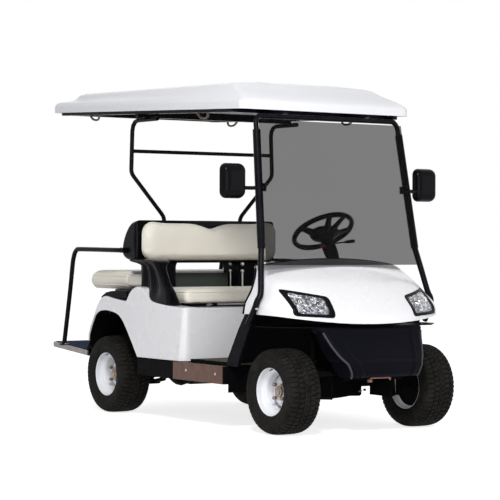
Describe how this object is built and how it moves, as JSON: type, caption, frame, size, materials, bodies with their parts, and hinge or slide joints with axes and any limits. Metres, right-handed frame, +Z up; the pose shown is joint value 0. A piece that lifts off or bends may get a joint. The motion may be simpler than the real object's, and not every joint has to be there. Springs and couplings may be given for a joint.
{
  "type": "golf cart",
  "caption": "Electric golf cart with a front bench, a rear-facing back bench, a roof on tube frames, a windscreen, and wheels that steer and roll.",
  "frame": {"origin": "centre of the overall box at floor level, between the wheels, where the tyres stand", "axes": "+Z up; +Y towards the rear, so the cart faces -Y; +X towards the cart's left side, where the steering wheel is"},
  "size_m": [1.47, 2.74, 1.9518],
  "materials": {
    "body_white": "glossy white moulding",
    "roof_white": "satin white moulding",
    "cream_vinyl": "cream vinyl",
    "moulded_black": "black moulding",
    "tube_black": "gloss black paint",
    "chassis_black": "satin black paint",
    "rubber": "black rubber",
    "wheel_white": "white paint",
    "trim_aluminium": "ribbed, brownish",
    "smoked_glass": "smoked, clear to see through",
    "lamp_lens": "clear lens over a bright reflector",
    "tail_red": "red lens",
    "floor_mat": "dark olive-brown textured mat"
  },
  "bodies": {
    "chassis": {"backrest_shell": "moulded_black", "battery_pack": "chassis_black", "dashboard": "moulded_black", "floor_pan": "floor_mat", "footplate": "trim_aluminium", "frame": "chassis_black", "front_backrest": "cream_vinyl", "front_bumper": "moulded_black", "front_cowl": "body_white", "front_liner": "moulded_black", "front_suspension_l": "chassis_black", "front_suspension_r": "chassis_black", "grab_bar_l": "tube_black", "grab_bar_r": "tube_black", "headlamp_l": "lamp_lens", "headlamp_r": "lamp_lens", "hip_bracket_l": "moulded_black", "hip_bracket_r": "moulded_black", "mirror_l": "moulded_black", "mirror_r": "moulded_black", "pedals": "chassis_black", "rack_housing": "chassis_black", "rear_axle": "chassis_black", "rear_backrest": "cream_vinyl", "rear_body": "body_white", "rear_cushion": "cream_vinyl", "rear_deck": "moulded_black", "rear_seat_board": "moulded_black", "rear_shock_l": "chassis_black", "rear_shock_r": "chassis_black", "rear_spring_l": "chassis_black", "rear_spring_r": "chassis_black", "rear_struts": "tube_black", "roof": "roof_white", "roof_rails": "tube_black", "seat_hinge_pin": "chassis_black", "sill_trim_l": "trim_aluminium", "sill_trim_r": "trim_aluminium", "steering_column": "moulded_black", "tail_lamp_l": "tail_red", "tail_lamp_r": "tail_red", "windscreen": "smoked_glass", "windscreen_frame": "tube_black"},
    "wheel_fl": {"tyre_fl": "rubber", "rim_fl": "wheel_white"},
    "wheel_fr": {"tyre_fr": "rubber", "rim_fr": "wheel_white"},
    "wheel_rl": {"tyre_rl": "rubber", "rim_rl": "wheel_white"},
    "wheel_rr": {"tyre_rr": "rubber", "rim_rr": "wheel_white"},
    "knuckle_l": {"knuckle_l": "chassis_black"},
    "knuckle_r": {"knuckle_r": "chassis_black"},
    "steering": {"steering_wheel": "moulded_black"},
    "rack": {"tie_rods": "chassis_black"},
    "seat": {"seat_base": "moulded_black", "seat_cushion": "cream_vinyl"}
  },
  "joints": [
    {"name": "steering_turn", "type": "hinge", "parent": "chassis", "child": "steering", "pos_m": [0.27, -0.39, 1.09], "axis": [0, 0.5446, 0.8387], "range_deg": [-450, 450]},
    {"name": "kingpin_l", "type": "hinge", "parent": "chassis", "child": "knuckle_l", "pos_m": [0.325, -1.03, 0.23], "axis": [0, 0, 1], "range_deg": [-30, 30]},
    {"name": "kingpin_r", "type": "hinge", "parent": "chassis", "child": "knuckle_r", "pos_m": [-0.325, -1.03, 0.23], "axis": [0, 0, 1], "range_deg": [-30, 30]},
    {"name": "rack_slide", "type": "slide", "parent": "chassis", "child": "rack", "axis": [1, 0, 0], "range_m": [-0.0625, 0.0625]},
    {"name": "seat_tilt", "type": "hinge", "parent": "chassis", "child": "seat", "pos_m": [0, -0.112, 0.6656], "axis": [1, 0, 0], "range_deg": [0, 75]},
    {"name": "roll_fl", "type": "hinge", "parent": "knuckle_l", "child": "wheel_fl", "pos_m": [0.456, -1.03, 0.23], "axis": [1, 0, 0], "continuous": true},
    {"name": "roll_fr", "type": "hinge", "parent": "knuckle_r", "child": "wheel_fr", "pos_m": [-0.456, -1.03, 0.23], "axis": [1, 0, 0], "continuous": true},
    {"name": "roll_rl", "type": "hinge", "parent": "chassis", "child": "wheel_rl", "pos_m": [0.506, 0.63, 0.23], "axis": [1, 0, 0], "continuous": true},
    {"name": "roll_rr", "type": "hinge", "parent": "chassis", "child": "wheel_rr", "pos_m": [-0.506, 0.63, 0.23], "axis": [1, 0, 0], "continuous": true}
  ],
  "couplings": [
    {"joint": "kingpin_l", "follows": "steering_turn", "ratio": 0.066667},
    {"joint": "kingpin_r", "follows": "steering_turn", "ratio": 0.066667},
    {"joint": "rack_slide", "follows": "steering_turn", "m_per_rad": 0.0079577}
  ]
}
